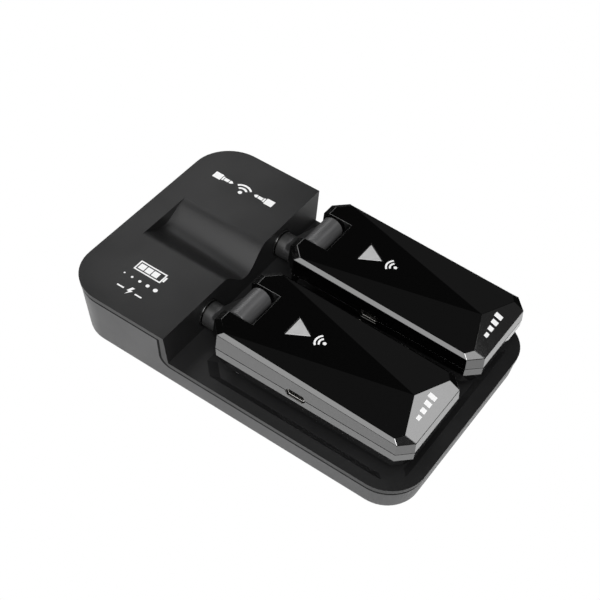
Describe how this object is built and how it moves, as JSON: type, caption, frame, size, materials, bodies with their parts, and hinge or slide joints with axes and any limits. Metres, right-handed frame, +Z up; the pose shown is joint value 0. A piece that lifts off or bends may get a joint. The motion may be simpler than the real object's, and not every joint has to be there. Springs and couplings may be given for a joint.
{
  "type": "wireless guitar transmitter set",
  "caption": "Plug-in wireless guitar transmitter and matching receiver, each a faceted body on a hinged audio plug, seated in the sockets of a low charging dock with a raised housing.",
  "frame": {"origin": "under the middle of the dock, on the surface that its feet stand on", "axes": "+Z up, +Y from the open front of the tray to the raised housing, +X from the transmitter to the receiver"},
  "size_m": [0.0946, 0.144, 0.0375],
  "materials": {
    "satin_grey_plastic": "satin moulded plastic with a fine grain",
    "charcoal_plastic": "fine textured matte moulded plastic",
    "gloss_black_plastic": "polished piano black",
    "satin_dark_plastic": "satin",
    "black_plastic": "moulded",
    "light_button": "translucent light guide",
    "printed_ink": "pad printed symbols",
    "foot_rubber": "matte rubber",
    "nickel_plate": "bright nickel plate",
    "contact_brass": "plain",
    "screw_steel": "zinc plated",
    "circuit_board": "solder mask",
    "cell_wrap": "pouch foil"
  },
  "bodies": {
    "dock": {"dock_base_shell": "satin_grey_plastic", "dock_top_cover": "charcoal_plastic", "dock_circuit_board": "circuit_board", "dock_battery_cell": "cell_wrap", "dock_usb_receptacle": "nickel_plate", "rubber_foot_1": "foot_rubber", "rubber_foot_2": "foot_rubber", "rubber_foot_3": "foot_rubber", "rubber_foot_4": "foot_rubber", "dock_screw_1": "screw_steel", "dock_screw_2": "screw_steel", "dock_screw_3": "screw_steel", "dock_screw_4": "screw_steel", "tx_jack_socket": "black_plastic", "tx_tip_contact": "contact_brass", "rx_jack_socket": "black_plastic", "rx_tip_contact": "contact_brass"},
    "tx_plug": {"tx_plug_arm": "satin_dark_plastic", "tx_plug_sleeve": "nickel_plate", "tx_plug_insulator": "black_plastic", "tx_plug_tip": "nickel_plate"},
    "tx_body": {"tx_upper_shell": "gloss_black_plastic", "tx_lower_shell": "gloss_black_plastic", "tx_button_switch": "black_plastic", "tx_circuit_board": "circuit_board", "tx_battery_cell": "cell_wrap", "tx_usb_receptacle": "nickel_plate", "tx_antenna": "contact_brass", "tx_hinge_pin": "screw_steel", "tx_screw_1": "screw_steel", "tx_screw_2": "screw_steel", "tx_screw_3": "screw_steel"},
    "tx_button": {"tx_light_button": "light_button"},
    "rx_plug": {"rx_plug_arm": "satin_dark_plastic", "rx_plug_sleeve": "nickel_plate", "rx_plug_insulator": "black_plastic", "rx_plug_tip": "nickel_plate"},
    "rx_body": {"rx_upper_shell": "gloss_black_plastic", "rx_lower_shell": "gloss_black_plastic", "rx_button_switch": "black_plastic", "rx_circuit_board": "circuit_board", "rx_battery_cell": "cell_wrap", "rx_usb_receptacle": "nickel_plate", "rx_antenna": "contact_brass", "rx_hinge_pin": "screw_steel", "rx_screw_1": "screw_steel", "rx_screw_2": "screw_steel", "rx_screw_3": "screw_steel"},
    "rx_button": {"rx_light_button": "light_button"}
  },
  "joints": [
    {"name": "tx_unplug", "type": "slide", "parent": "dock", "child": "tx_plug", "axis": [0, -1, 0], "range_m": [0, 0.04]},
    {"name": "tx_tilt", "type": "hinge", "parent": "tx_plug", "child": "tx_body", "pos_m": [-0.0222, 0.0076, 0.033], "axis": [-1, 0, 0], "range_deg": [0, 90]},
    {"name": "tx_button_press", "type": "slide", "parent": "tx_body", "child": "tx_button", "axis": [0, 0, -1], "range_m": [0, 0.0005], "stiffness_N_per_m": 800},
    {"name": "rx_unplug", "type": "slide", "parent": "dock", "child": "rx_plug", "axis": [0, -1, 0], "range_m": [0, 0.04]},
    {"name": "rx_tilt", "type": "hinge", "parent": "rx_plug", "child": "rx_body", "pos_m": [0.0222, 0.0076, 0.033], "axis": [-1, 0, 0], "range_deg": [0, 90]},
    {"name": "rx_button_press", "type": "slide", "parent": "rx_body", "child": "rx_button", "axis": [0, 0, -1], "range_m": [0, 0.0005], "stiffness_N_per_m": 800}
  ]
}
